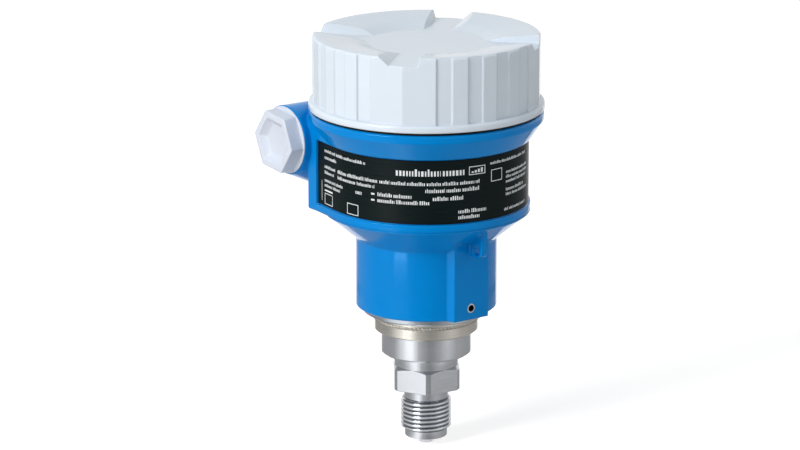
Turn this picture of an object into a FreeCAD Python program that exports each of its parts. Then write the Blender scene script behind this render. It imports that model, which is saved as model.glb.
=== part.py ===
import FreeCAD, Part
import math
import os

# Pressure transmitter: a stainless sensor with a G1/2 process thread below, a die-cast
# housing that turns on it, and a screwed cover on top.
# Millimetres, +Z up. The origin is on the thread axis, at the lower end of the thread.
# The cable entries lie along X, and the pad with the locking screw faces -Y.

# ---- process connection: spigot, pilot, G1/2 thread, hexagon, collar ----
thread_major = 20.955
thread_minor = 18.631
thread_pitch = 1.814
thread_grooves = 7
thread_land = 0.35
pilot_dia = 17.5
pilot_length = 2.0
lead_in = 1.0
spigot_dia = 6.0
spigot_length = 3.0
port_dia = 3.0
relief_dia = 18.4
relief_length = 5.2
hex_flats = 27.0
hex_corners = 30.0
hex_height = 9.8
hex_turn = -3.3
hex_foot_chamfer = 0.3
collar_dia = 26.8
collar_length = 5.2

# ---- sensor: two welded steps, diaphragm, header and board ----
lower_step_dia = 37.4
lower_step_length = 10.2
upper_step_dia = 43.0
upper_step_length = 7.9
upper_step_bore = 32.0
cell_dia = 18.0
cell_floor = 3.0
chamber_dia = 15.0
chamber_depth = 0.5
diaphragm_thickness = 0.3
header_height = 7.6
oil_dia = 10.0
oil_depth = 1.6
chip_side = 3.2
chip_height = 0.9
pin_dia = 0.7
pin_count = 6
pin_circle = 7.4
board_dia = 29.0
board_thickness = 1.6
spacer_dia = 3.4
spacer_height = 5.6
spacer_circle = 24.0

# ---- rotation collar between sensor and housing ----
ring_ledge = 1.8
ring_height = 2.7
sleeve_dia = 49.0
sleeve_wall = 4.0
sleeve_height = 24.6
lock_groove_depth = 1.2
lock_groove_width = 4.6
seal_groove_depth = 1.9
seal_groove_width = 2.6
clip_thickness = 1.2
clip_groove_depth = 1.1
clip_overlap = 1.3
clip_room = 0.7
clip_gap = 6.0

# ---- housing ----
neck_wall = 2.65
neck_height = 29.3
neck_fit = 0.25
shoulder_height = 21.6
cone_height = 11.3
bead_radius = 42.7
bead_height = 3.6
recess_depth = 1.0
recess_step = 1.2
recess_height = 27.1
flare_height = 8.0
rim_setback = 0.25
rim_height = 3.3
rim_round = 1.2
edge_round = 1.4
rear_bulge = 5.8
side_x = 40.5
side_y = 22.0
chamber_radius = 38.5
rear_chamber_radius = 45.0
rear_chamber_x = 36.0
rear_chamber_y = 20.0
floor_lift = 0.6
ledge_radius = 31.0
ledge_thickness = 3.0
collar_radius = 43.4
collar_height = 12.3

# ---- cable entries and their blind plugs (M20 x 1.5) ----
entry_y = 38.3
entry_below_rim = 14.45
entry_radius = 14.3
entry_face_x = 43.5
entry_root_x = 33.0
entry_root_drop = 4.9
entry_bore_dia = 18.4
entry_counterbore_depth = 0.8
plug_stem_dia = 18.0
plug_stem_length = 9.0
plug_wall = 2.2
plug_flange_dia = 28.0
plug_flange_height = 1.2
plug_hex_corners = 25.9
plug_hex_base_corners = 26.3
plug_hex_height = 5.3
plug_hex_turn = 53.0
plug_rim = 1.3
plug_recess_depth = 3.2
plug_recess_draft = 1.2
plug_seal_inner = 20.0
plug_seal_outer = 23.2
plug_seal_height = 1.6
seal_play = 0.2

# ---- pad, locking screw and tag lug on the neck ----
pad_stand = 1.65
pad_width = 17.0
pad_side_run = 3.5
pad_side_draft = 1.6
lock_screw_height = 4.6
lock_screw_dia = 4.0
lock_screw_sink = 0.2
lock_tip_room = 0.4
lock_socket_flats = 2.0
lock_socket_depth = 2.4
pocket_half_root = 9.7
pocket_half_tip = 8.6
pocket_reach = 40.6
pocket_low_rise = 2.9
pocket_high_rise = 10.2
lug_thickness = 2.6
lug_reach = 39.5
lug_drop = 1.8
lug_round = 2.6
lug_hole_dia = 4.6
lug_hole_y = 35.4
lug_hole_rise = 1.0

# ---- ground terminals and vent on the housing ----
vent_boss_dia = 12.0
vent_rise = 25.0
vent_cap_dia = 9.4
vent_cap_height = 2.2
vent_stem_dia = 4.8
ground_boss_dia = 13.0
ground_boss_stand = 2.0
ground_rise = 8.4
ground_screw_dia = 4.0
ground_head_dia = 7.6
ground_head_height = 2.6
ground_screw_length = 4.8
clamp_side = 9.5
clamp_thickness = 1.4
post_dia = 9.0
post_y = 31.0
post_height = 6.5

# ---- nameplate ----
plate_thickness = 0.25
plate_margin = 0.4

# ---- cover ----
cover_gap = 1.1
cover_height = 30.2
cover_flange_radius = 48.35
cover_flange_height = 2.8
cover_flange_round = 1.0
cover_radius = 46.7
cover_bore_radius = 43.9
cover_ceiling = 23.6
cover_edge_round = 1.2
dish_depth = 3.5
dish_radius = 24.0
dish_knee_radius = 31.0
dish_knee_depth = 1.5
crest_radius = 43.6
notch_count = 4
notch_turn = -138.8
notch_half_width = 5.9
notch_slant = 3.6
notch_inner_slant = 9.0
notch_draft = 0.9
notch_inner = 20.0
groove_width = 8.2
groove_pitch = 16.2
groove_depth = 0.6
groove_sets = 4
cover_seal_inner = 44.8
cover_seal_outer = 47.0
cover_seal_height = 2.0

# ---- electronics insert and what stands on it ----
insert_radius = 37.8
insert_height = 28.0
insert_back_y = 19.0
insert_screw_circle = 34.0
insert_screw_angles = (200.0, 270.0, 340.0)
insert_screw_dia = 3.0
insert_head_dia = 5.5
insert_head_height = 2.5
insert_foot = 4.2
insert_well_run = 8.0
insert_screw_bite = 5.0
ribbon_hole_dia = 3.2
ribbon_hole_depth = 6.0
terminal_size = (34.0, 11.0, 9.0)
terminal_y = 11.0
terminal_ways = 4
terminal_head_dia = 5.2
terminal_shank_dia = 3.0
terminal_screw_y = 10.0
terminal_mouth_width = 4.4
terminal_mouth_height = 3.6
terminal_mouth_depth = 3.0
terminal_screw_length = 4.0
terminal_well = 3.2
terminal_head_height = 2.4
socket_size = (16.0, 6.4, 6.0)
socket_place = (16.0, -19.0)
socket_wall = 1.0
switch_size = (13.2, 7.0, 4.0)
switch_place = (-15.0, -17.0)
switch_ways = 4
slider_pitch = 2.54
slider_size = (1.3, 1.5, 1.7)
slider_travel = 1.4
key_dia = 5.0
key_height = 3.2
key_guide_dia = 9.0
key_guide_height = 2.4
key_sink = 2.0
key_y = -5.0
zero_key_x = -11.0
span_key_x = 11.0
head_slot = 0.8
slot_depth = 1.2
running_gap = 0.2

# ---- sizes and levels that follow from the ones above ----
ring_dia = sleeve_dia + 2 * ring_ledge
sleeve_bore = sleeve_dia - 2 * sleeve_wall
passage_dia = sleeve_dia + 2 * (clip_overlap + clip_room)
neck_dia = passage_dia + 2 * neck_wall
pad_y = neck_dia / 2 + pad_stand
rim_radius = cover_flange_radius - rim_setback
rear_radius = bead_radius + rear_bulge
reach = rear_radius + 12
thread_length = thread_grooves * thread_pitch + thread_land
hex_z = thread_length + relief_length
collar_z = hex_z + hex_height
lower_step_z = collar_z + collar_length
upper_step_z = lower_step_z + lower_step_length
ring_z = upper_step_z + upper_step_length
neck_z = ring_z + ring_height
cone_z = neck_z + neck_height
bead_z = cone_z + cone_height
recess_z = bead_z + bead_height
flare_z = recess_z + recess_height
rim_z = flare_z + flare_height
rim_top = rim_z + rim_height
cover_z = rim_top + cover_gap
cover_top = cover_z + cover_height
entry_z = rim_top - entry_below_rim
chamber_z = recess_z + floor_lift
deck_z = chamber_z + insert_height
sleeve_top = neck_z + sleeve_height
shoulder_z = neck_z + shoulder_height
lock_z = neck_z + lock_screw_height
seal_z = neck_z + 0.5 * (lock_screw_height + shoulder_height)
header_z = lower_step_z + cell_floor + diaphragm_thickness
board_z = upper_step_z + spacer_height


def vec(x, y, z):
    return FreeCAD.Vector(x, y, z)


def turned(points):
    """Solid of revolution about Z from a closed list of (radius, z) points."""
    corners = [vec(r, 0, z) for r, z in points]
    face = Part.Face(Part.makePolygon(corners + corners[:1]))
    return face.revolve(vec(0, 0, 0), vec(0, 0, 1), 360)


def disc(radius, z_low, z_high, x=0.0, y=0.0):
    return Part.makeCylinder(radius, z_high - z_low, vec(x, y, z_low))


def ring(inner, outer, z_low, z_high):
    return disc(outer, z_low, z_high).cut(disc(inner, z_low - 1, z_high + 1))


def rod(radius, start, end):
    axis = end - start
    return Part.makeCylinder(radius, axis.Length, start, axis)


def block(x_low, x_high, y_low, y_high, z_low, z_high):
    return Part.makeBox(x_high - x_low, y_high - y_low, z_high - z_low, vec(x_low, y_low, z_low))


def prism(points, z_low, z_high):
    corners = [vec(x, y, z_low) for x, y in points]
    face = Part.Face(Part.makePolygon(corners + corners[:1]))
    return face.extrude(vec(0, 0, z_high - z_low))


def polar(radius, degrees):
    angle = math.radians(degrees)
    return radius * math.cos(angle), radius * math.sin(angle)


def turn(shape, degrees):
    return shape.rotated(vec(0, 0, 0), vec(0, 0, 1), degrees)


def slot_across(x, y, top, length):
    """Cutter of a screwdriver slot along X in a head that points up."""
    return block(x - length, x + length, y - head_slot / 2, y + head_slot / 2, top - slot_depth, top + 1)


def hexagon(corner_radius, z_low, z_high, degrees):
    return prism([polar(corner_radius, degrees + 60 * k) for k in range(6)], z_low, z_high)


def loft_between(low_points, low_z, high_points, high_z):
    wires = []
    for points, z in ((low_points, low_z), (high_points, high_z)):
        corners = [vec(x, y, z) for x, y in points]
        wires.append(Part.makePolygon(corners + corners[:1]))
    return Part.makeLoft(wires, True, True)


def make_process_connection():
    spigot_r = spigot_dia / 2
    pilot_r = pilot_dia / 2
    crest = thread_major / 2
    root = thread_minor / 2
    relief_r = relief_dia / 2
    port_r = port_dia / 2
    flank = (crest - root) * math.tan(math.radians(27.5))
    pilot_z = -lead_in - pilot_length
    points = [(port_r, pilot_z - spigot_length)]
    points.append((spigot_r - 0.4, pilot_z - spigot_length))
    points.append((spigot_r, pilot_z - spigot_length + 0.4))
    points.append((spigot_r, pilot_z))
    points.append((pilot_r - 0.4, pilot_z))
    points.append((pilot_r, pilot_z + 0.4))
    points.append((pilot_r, -lead_in))
    for k in range(thread_grooves + 1):
        z = k * thread_pitch
        points.append((crest, z))
        points.append((crest, z + thread_land))
        if k < thread_grooves:
            points.append((root, z + thread_land + flank))
            points.append((root, z + thread_pitch - flank))
    points.append((relief_r, thread_length + (crest - relief_r) * 0.6))
    points.append((relief_r, hex_z + 0.5))
    points.append((port_r, hex_z + 0.5))
    stem = turned(points)
    corner_r = hex_corners / 2
    flat_r = hex_flats / 2
    slope = math.tan(math.radians(30))
    blank = [(port_r, hex_z)]
    blank.append((corner_r - hex_foot_chamfer, hex_z))
    blank.append((corner_r, hex_z + hex_foot_chamfer))
    blank.append((corner_r, collar_z - (corner_r - flat_r) * slope))
    blank.append((flat_r, collar_z))
    blank.append((port_r, collar_z))
    nut = turned(blank).common(hexagon(flat_r / math.cos(math.pi / 6), hex_z, collar_z, hex_turn))
    collar = ring(port_r, collar_dia / 2, collar_z, lower_step_z)
    return stem.fuse([nut, collar]).removeSplitter()


def make_sensor_body():
    """Lower welded step: a cup that holds the measuring cell."""
    r = lower_step_dia / 2
    cell_r = cell_dia / 2
    chamber_r = chamber_dia / 2
    floor_z = lower_step_z + cell_floor
    points = [(port_dia / 2, lower_step_z)]
    points.append((r - 0.8, lower_step_z))
    points.append((r, lower_step_z + 0.8))
    points.append((r, upper_step_z - 0.3))
    points.append((r - 0.3, upper_step_z))
    points.append((cell_r, upper_step_z))
    points.append((cell_r, floor_z))
    points.append((chamber_r, floor_z))
    points.append((chamber_r, floor_z - chamber_depth))
    points.append((port_dia / 2, floor_z - chamber_depth))
    return turned(points)


def make_measuring_diaphragm():
    """Thin steel disc with two pressed waves, clamped at its edge."""
    z = lower_step_z + cell_floor
    t = diaphragm_thickness
    edge = cell_dia / 2 - running_gap / 2
    wave = chamber_depth / 2
    chamber_r = chamber_dia / 2
    under = [(0, z)]
    over = [(0, z + t)]
    for r in (chamber_r * 0.45, chamber_r * 0.75):
        under += [(r - 0.6, z), (r, z - wave), (r + 0.6, z)]
        over += [(r - 0.6, z + t), (r, z + t - wave), (r + 0.6, z + t)]
    under.append((edge, z))
    over.append((edge, z + t))
    return turned(under + over[::-1])


def make_sensor_header():
    """Steel base over the diaphragm, with an oil pocket below and bores for the pins."""
    r = cell_dia / 2 - running_gap / 2
    header = disc(r, header_z, header_z + header_height)
    header = header.cut(disc(oil_dia / 2, header_z - 1, header_z + oil_depth))
    for k in range(pin_count):
        x, y = polar(pin_circle / 2, 60 * k)
        header = header.cut(disc(pin_dia / 2, header_z, header_z + header_height + 1, x, y))
    return header


def make_sensor_chip():
    half = chip_side / 2
    top = header_z + oil_depth
    return block(-half, half, -half, half, top - chip_height, top)


def make_feedthrough_pins():
    pins = []
    for k in range(pin_count):
        x, y = polar(pin_circle / 2, 60 * k)
        pins.append(disc(pin_dia / 2, header_z + 0.4, board_z + board_thickness + 0.6, x, y))
    return Part.makeCompound(pins)


def make_compensation_board():
    board = disc(board_dia / 2, board_z, board_z + board_thickness)
    for k in range(pin_count):
        x, y = polar(pin_circle / 2, 60 * k)
        board = board.cut(disc(pin_dia / 2 + 0.15, board_z - 1, board_z + board_thickness + 1, x, y))
    return board


def make_board_spacers():
    spacers = []
    for k in range(3):
        x, y = polar(spacer_circle / 2, 30 + 120 * k)
        spacers.append(disc(spacer_dia / 2, upper_step_z, board_z, x, y))
    return Part.makeCompound(spacers)


def make_sensor_ring():
    """Upper welded step, an open ring round the sensor board."""
    r = upper_step_dia / 2
    bore = upper_step_bore / 2
    points = [(bore, upper_step_z)]
    points.append((r - 0.5, upper_step_z))
    points.append((r, upper_step_z + 0.5))
    points.append((r, ring_z - 0.5))
    points.append((r - 0.5, ring_z))
    points.append((bore, ring_z))
    return turned(points)


def make_rotation_collar():
    """Polished ring and the sleeve that the housing turns on."""
    r = sleeve_dia / 2
    bore = sleeve_bore / 2
    ring_r = ring_dia / 2
    lock_low = lock_z - lock_groove_width / 2
    lock_high = lock_z + lock_groove_width / 2
    seal_low = seal_z - seal_groove_width / 2
    seal_high = seal_z + seal_groove_width / 2
    clip_low = shoulder_z + running_gap
    clip_high = clip_low + clip_thickness
    points = [(upper_step_bore / 2, ring_z)]
    points.append((ring_r - 0.5, ring_z))
    points.append((ring_r, ring_z + 0.5))
    points.append((ring_r, neck_z - 0.4))
    points.append((ring_r - 0.4, neck_z))
    points.append((r, neck_z))
    points += [(r, lock_low), (r - lock_groove_depth, lock_low)]
    points += [(r - lock_groove_depth, lock_high), (r, lock_high)]
    points += [(r, seal_low), (r - seal_groove_depth, seal_low)]
    points += [(r - seal_groove_depth, seal_high), (r, seal_high)]
    points += [(r, clip_low), (r - clip_groove_depth, clip_low)]
    points += [(r - clip_groove_depth, clip_high), (r, clip_high)]
    points.append((r, sleeve_top - 0.6))
    points.append((r - 0.6, sleeve_top))
    points.append((bore, sleeve_top))
    points.append((bore, neck_z))
    points.append((upper_step_bore / 2, neck_z))
    return turned(points)


def make_neck_seal():
    inner = sleeve_dia / 2 - seal_groove_depth + running_gap / 2
    outer = (sleeve_dia + neck_fit) / 2
    half = seal_groove_width / 2 - running_gap / 2
    return ring(inner, outer, seal_z - half, seal_z + half)


def make_retaining_clip():
    """Open clip that sits in the sleeve's top groove, over the housing's shoulder."""
    z = shoulder_z + running_gap
    inner = sleeve_dia / 2 - clip_groove_depth + running_gap / 2
    outer = sleeve_dia / 2 + clip_overlap
    clip = ring(inner, outer, z, z + clip_thickness)
    half = clip_gap / 2
    return clip.cut(block(-half, half, 0, outer + 1, z - 1, z + clip_thickness + 1))


def front_plan(inset):
    """Closed outline of the housing's middle: round front, slanted sides, round rear."""
    r = bead_radius - inset
    x = side_x - inset
    tangent = math.atan2(side_y, -x) + math.acos(r / math.hypot(x, side_y))
    near = vec(r * math.cos(tangent), r * math.sin(tangent), 0)
    far = vec(-near.x, near.y, 0)
    rear_r = rear_radius
    rear_y = math.sqrt(rear_r ** 2 - x ** 2)
    left = vec(-x, side_y, 0)
    right = vec(x, side_y, 0)
    left_rear = vec(-x, rear_y, 0)
    right_rear = vec(x, rear_y, 0)
    edges = [Part.Arc(near, vec(0, -r, 0), far).toShape()]
    edges.append(Part.makeLine(far, right))
    edges.append(Part.makeLine(right, right_rear))
    edges.append(Part.Arc(right_rear, vec(0, rear_r, 0), left_rear).toShape())
    edges.append(Part.makeLine(left_rear, left))
    edges.append(Part.makeLine(left, near))
    return Part.Wire(edges)


def plan_solid(inset, z_low, z_high):
    face = Part.Face(front_plan(inset))
    solid = face.extrude(vec(0, 0, z_high - z_low))
    solid.translate(vec(0, 0, z_low))
    return solid


def recess_tool(z_low, z_high, inset):
    """What is cut from the middle to sink the plate: all outside the inset outline, in front."""
    room = block(-reach, reach, -reach, side_y - recess_step, z_low, z_high)
    return room.cut(plan_solid(inset, z_low - 1, z_high + 1))


def make_housing_outside():
    neck_r = neck_dia / 2
    body = turned([(0, neck_z), (neck_r - 0.4, neck_z), (neck_r, neck_z + 0.4), (neck_r, cone_z),
                   (bead_radius, bead_z), (bead_radius, bead_z + 0.5), (0, bead_z + 0.5)])
    middle = plan_solid(0, bead_z, rim_z)
    low_edges = [e for e in middle.Edges if e.BoundBox.ZMax < bead_z + 0.01]
    middle = middle.makeFillet(edge_round, low_edges)
    middle = middle.cut(recess_tool(recess_z, flare_z, recess_depth))
    flare = turned([(0, flare_z - 2), (bead_radius - recess_depth, flare_z - 2),
                    (bead_radius - recess_depth, flare_z), (bead_radius, flare_z),
                    (rim_radius, rim_z), (0, rim_z)])
    flare = flare.cut(ring(bead_radius - recess_depth - 0.01, rim_radius, flare_z - 3, flare_z))
    rim = disc(rim_radius, rim_z, rim_top)
    rim_edges = [e for e in rim.Edges if e.BoundBox.ZMin > rim_top - 0.01]
    rim = rim.makeFillet(rim_round, rim_edges)
    collar = disc(collar_radius, rim_top - 1, rim_top + collar_height)
    collar_edges = [e for e in collar.Edges if e.BoundBox.ZMin > rim_top + 1]
    collar = collar.makeChamfer(0.8, collar_edges)
    return body.fuse([middle, flare, rim, collar])


def upright_oval(x, z, half_width, half_height):
    """Closed oval across X, with its long axis upright."""
    wire = Part.Wire(Part.Ellipse(vec(0, 0, 0), half_height, half_width).toShape())
    wire.rotate(vec(0, 0, 0), vec(1, 0, 1), 180)
    wire.translate(vec(x, entry_y, z))
    return wire


def make_entry_barrel():
    """Level tube across the back for both cable entries, drawn in to a round face at each end."""
    half_height = entry_radius + entry_root_drop / 2
    root_z = entry_z - entry_root_drop / 2
    start = upright_oval(-entry_root_x, root_z, entry_radius, half_height)
    barrel = Part.Face(start).extrude(vec(2 * entry_root_x, 0, 0))
    for side in (-1, 1):
        root = upright_oval(side * entry_root_x, root_z, entry_radius, half_height)
        round_face = upright_oval(side * entry_face_x, entry_z, entry_radius, entry_radius)
        barrel = barrel.fuse(Part.makeLoft([root, round_face], True, True))
    return barrel


def make_pad():
    """Flat pad up the neck with steep drafted sides, up to the cone."""
    half = pad_width / 2
    back = pad_side_run - pad_y
    points = [(-half, -pad_y), (half, -pad_y), (half + pad_side_draft, back), (half + pad_side_draft, 0)]
    points += [(-half - pad_side_draft, 0), (-half - pad_side_draft, back)]
    limit = disc(pad_y + pad_side_run, neck_z, cone_z + pocket_low_rise)
    return prism(points, neck_z, cone_z + pocket_low_rise).common(limit)


def make_pocket():
    """Hollow in the cone above the pad, round the tag lug, with a sloping ceiling."""
    far = pocket_reach + 2
    plan = [(-pocket_half_root, -pad_y), (pocket_half_root, -pad_y)]
    plan += [(pocket_half_tip, -far), (-pocket_half_tip, -far)]
    column = prism(plan, cone_z - 1, bead_z)
    slope = (pocket_high_rise - pocket_low_rise) / (pocket_reach - pad_y)
    far_z = cone_z + pocket_low_rise + slope * (far - pad_y)
    side = [vec(-reach, -pad_y, cone_z - 1), vec(-reach, -pad_y, cone_z + pocket_low_rise)]
    side += [vec(-reach, -far, far_z), vec(-reach, -far, cone_z - 1)]
    under = Part.Face(Part.makePolygon(side + side[:1])).extrude(vec(2 * reach, 0, 0))
    return column.common(under)


def make_lug():
    """Web with an eye for a tag wire, in the corner of pad and cone."""
    low = cone_z - lug_drop
    high = cone_z + pocket_high_rise
    side = [vec(0, 2 - pad_y, low), vec(0, -lug_reach, low), vec(0, -lug_reach, high), vec(0, 2 - pad_y, high)]
    face = Part.Face(Part.makePolygon(side + side[:1]))
    web = face.extrude(vec(lug_thickness, 0, 0))
    web.translate(vec(-lug_thickness / 2, 0, 0))
    corner = [e for e in web.Edges if e.BoundBox.ZMax < low + 0.01 and e.BoundBox.YMax < 0.01 - lug_reach]
    web = web.makeFillet(lug_round, corner)
    eye_z = cone_z + lug_hole_rise
    eye_r = lug_hole_dia / 2
    eye = rod(eye_r, vec(-lug_thickness, -lug_hole_y, eye_z), vec(lug_thickness, -lug_hole_y, eye_z))
    return web.cut(eye)


def make_housing():
    """Die-cast housing: neck, cone, round chamber, two cable entries and a threaded collar."""
    shell = make_housing_outside()
    shell = shell.fuse([make_entry_barrel(), make_pad()])
    vent_z = neck_z + vent_rise
    vent_face = neck_dia / 2 + 1.0
    ground_face = rear_radius + ground_boss_stand
    ground_z = bead_z + ground_rise
    vent_boss = rod(vent_boss_dia / 2, vec(0, passage_dia / 2, vent_z), vec(0, vent_face, vent_z))
    ground_boss = rod(ground_boss_dia / 2, vec(0, rear_radius - 3, ground_z), vec(0, ground_face, ground_z))
    shell = shell.fuse([vent_boss, ground_boss])
    shell = shell.cut(make_pocket()).fuse(make_lug())
    sleeve_r = (sleeve_dia + neck_fit) / 2
    passage_r = passage_dia / 2
    top_z = rim_top + collar_height + 1
    cavity = turned([(0, neck_z - 1), (sleeve_r, neck_z - 1), (sleeve_r, shoulder_z),
                     (passage_r, shoulder_z), (passage_r, bead_z - 3),
                     (ledge_radius, chamber_z - ledge_thickness), (ledge_radius, chamber_z),
                     (chamber_radius, chamber_z), (chamber_radius, top_z), (0, top_z)])
    rear_room = disc(rear_chamber_radius, chamber_z, entry_z + entry_bore_dia / 2 + 0.6)
    rear_room = rear_room.common(block(-rear_chamber_x, rear_chamber_x, rear_chamber_y, reach, 0, rim_top))
    shell = shell.cut(cavity.fuse(rear_room))
    post_low = chamber_z - ledge_thickness - 2
    post = disc(post_dia / 2, post_low, chamber_z + post_height, 0, post_y)
    shell = shell.fuse(post)
    tools = []
    for side in (-1, 1):
        face_x = side * entry_face_x
        tools.append(rod(entry_bore_dia / 2, vec(0, entry_y, entry_z), vec(face_x + side, entry_y, entry_z)))
        sink = vec(face_x - side * entry_counterbore_depth, entry_y, entry_z)
        tools.append(rod(plug_seal_outer / 2 + seal_play, sink, vec(face_x + side, entry_y, entry_z)))
    tools.append(rod(lock_screw_dia / 2 + 0.05, vec(0, 1 - sleeve_r, lock_z), vec(0, -pad_y - 1, lock_z)))
    tools.append(rod(vent_stem_dia / 2 + 0.05, vec(0, passage_r - 1, vent_z), vec(0, vent_face + 1, vent_z)))
    hole_r = ground_screw_dia / 2 + 0.05
    tools.append(rod(hole_r, vec(0, rear_chamber_radius + 0.4, ground_z), vec(0, ground_face + 1, ground_z)))
    post_top = chamber_z + post_height
    tools.append(disc(hole_r, post_top - ground_screw_length - 1, post_top + 1, 0, post_y))
    for angle in insert_screw_angles:
        x, y = polar(insert_screw_circle, angle)
        hole_low = chamber_z - insert_screw_bite - 0.4
        tools.append(disc(insert_screw_dia / 2 + 0.05, hole_low, chamber_z + 1, x, y))
    return shell.cut(tools)


def make_nameplate():
    """Thin plate bent round the front of the housing, in its recess."""
    low = recess_z + plate_margin
    high = flare_z - plate_margin
    plate = plan_solid(recess_depth - plate_thickness, low, high)
    plate = plate.cut(plan_solid(recess_depth, low - 1, high + 1))
    return plate.common(block(-reach, reach, -reach, side_y - recess_step - plate_margin, low, high))


def make_lock_screw():
    """M4 grub screw through the pad, with its tip in the sleeve's groove."""
    face_y = lock_screw_sink - pad_y
    tip_y = lock_groove_depth - lock_tip_room - sleeve_dia / 2
    r = lock_screw_dia / 2
    body = rod(r, vec(0, face_y, lock_z), vec(0, tip_y - 1.2, lock_z))
    tip = Part.makeCone(r, r * 0.5, 1.2, vec(0, tip_y - 1.2, lock_z), vec(0, 1, 0))
    socket = hexagon(lock_socket_flats / 2 / math.cos(math.pi / 6), 0, lock_socket_depth + 1, 0)
    socket.rotate(vec(0, 0, 0), vec(1, 0, 0), -90)
    socket.translate(vec(0, face_y - 1, lock_z))
    return body.fuse(tip).cut(socket)


def make_vent_filter():
    """Breather cap of the gauge-pressure path, at the back of the neck."""
    z = neck_z + vent_rise
    face = neck_dia / 2 + 1.0
    cap = rod(vent_cap_dia / 2, vec(0, face, z), vec(0, face + vent_cap_height, z))
    rim = [e for e in cap.Edges if e.BoundBox.YMin > face + vent_cap_height - 0.01]
    cap = cap.makeChamfer(0.6, rim)
    stem = rod(vent_stem_dia / 2, vec(0, passage_dia / 2, z), vec(0, face, z))
    return cap.fuse(stem)


def make_outer_ground_clamp():
    face = rear_radius + ground_boss_stand
    z = bead_z + ground_rise
    half = clamp_side / 2
    plate = block(-half, half, face, face + clamp_thickness, z - half, z + half)
    return plate.cut(rod(ground_screw_dia / 2 + 0.2, vec(0, face - 1, z), vec(0, face + 5, z)))


def make_outer_ground_screw():
    face = rear_radius + ground_boss_stand
    z = bead_z + ground_rise
    seat = face + clamp_thickness
    top = seat + ground_head_height
    shank = rod(ground_screw_dia / 2, vec(0, face - ground_screw_length + 0.6, z), vec(0, seat, z))
    head = rod(ground_head_dia / 2, vec(0, seat, z), vec(0, top, z))
    slot = block(-ground_head_dia, ground_head_dia, top - slot_depth, top + 1, z - head_slot / 2, z + head_slot / 2)
    return shank.fuse(head).cut(slot)


def make_inner_ground_clamp():
    z = chamber_z + post_height
    half = clamp_side / 2
    plate = block(-half, half, post_y - half + 1, post_y + half - 1, z, z + clamp_thickness)
    return plate.cut(disc(ground_screw_dia / 2 + 0.2, z - 1, z + 5, 0, post_y))


def make_inner_ground_screw():
    seat = chamber_z + post_height + clamp_thickness
    top = seat + ground_head_height
    shank = disc(ground_screw_dia / 2, seat - clamp_thickness - ground_screw_length + 0.5, seat, 0, post_y)
    head = disc(ground_head_dia / 2, seat, top, 0, post_y)
    slot = slot_across(0, post_y, top, ground_head_dia)
    return shank.fuse(head).cut(slot)


def make_electronics_insert():
    """Potted electronics: a round module, flat at the back, with feet for three screws."""
    pot = disc(insert_radius, chamber_z, deck_z)
    rims = [e for e in pot.Edges if e.BoundBox.ZMin > deck_z - 0.01]
    pot = pot.makeChamfer(1.0, rims)
    pot = pot.cut(block(-reach, reach, insert_back_y, reach, 0, deck_z + 1))
    tools = []
    foot_z = chamber_z + insert_foot
    well_r = insert_head_dia / 2 + 1
    for angle in insert_screw_angles:
        x, y = polar(insert_screw_circle, angle)
        out_x, out_y = polar(insert_screw_circle + insert_well_run, angle)
        tools.append(disc(insert_screw_dia / 2 + running_gap, chamber_z - 1, deck_z, x, y))
        tools.append(disc(well_r, foot_z, deck_z + 1, x, y))
        tools.append(disc(well_r, foot_z, deck_z + 1, out_x, out_y))
    x, y = socket_place
    tools.append(disc(ribbon_hole_dia / 2, deck_z - ribbon_hole_depth, deck_z + 1, x, y - socket_size[0] / 2))
    for key_x in (zero_key_x, span_key_x):
        tools.append(disc(key_dia / 2 + running_gap, deck_z - key_sink - 1.4, deck_z + 1, key_x, key_y))
    return pot.cut(tools)


def make_insert_screws():
    screws = []
    for angle in insert_screw_angles:
        x, y = polar(insert_screw_circle, angle)
        seat = chamber_z + insert_foot
        shank = disc(insert_screw_dia / 2, chamber_z - insert_screw_bite, seat, x, y)
        head = disc(insert_head_dia / 2, seat, seat + insert_head_height, x, y)
        top = seat + insert_head_height
        slot = slot_across(x, y, top, insert_head_dia)
        screws.append(shank.fuse(head).cut(slot))
    return Part.makeCompound(screws)


def terminal_x(way):
    pitch = terminal_size[0] / terminal_ways
    return (way - (terminal_ways - 1) / 2) * pitch


def make_terminal_block():
    """Four-way terminal block with a screw well and a wire mouth for each way."""
    length, width, height = terminal_size
    front = terminal_y - width / 2
    back = terminal_y + width / 2
    top = deck_z + height
    body = block(-length / 2, length / 2, front, back, deck_z, top)
    well_r = terminal_head_dia / 2 + 0.4
    shank_r = terminal_shank_dia / 2 + running_gap
    tools = []
    for way in range(terminal_ways):
        x = terminal_x(way)
        tools.append(disc(well_r, top - terminal_well, top + 1, x, terminal_screw_y))
        tools.append(disc(shank_r, top - terminal_well - terminal_screw_length - 0.2, top, x, terminal_screw_y))
        mouth_low = deck_z + 1.4
        mouth_high = mouth_low + terminal_mouth_height
        half = terminal_mouth_width / 2
        tools.append(block(x - half, x + half, back - terminal_mouth_depth, back + 1, mouth_low, mouth_high))
    return body.cut(tools)


def make_terminal_screws():
    screws = []
    seat = deck_z + terminal_size[2] - terminal_well
    top = seat + terminal_head_height
    for way in range(terminal_ways):
        x = terminal_x(way)
        shank = disc(terminal_shank_dia / 2, seat - terminal_screw_length, seat, x, terminal_screw_y)
        head = disc(terminal_head_dia / 2, seat, top, x, terminal_screw_y)
        slot = slot_across(x, terminal_screw_y, top, terminal_head_dia)
        screws.append(shank.fuse(head).cut(slot))
    return Part.makeCompound(screws)


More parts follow.
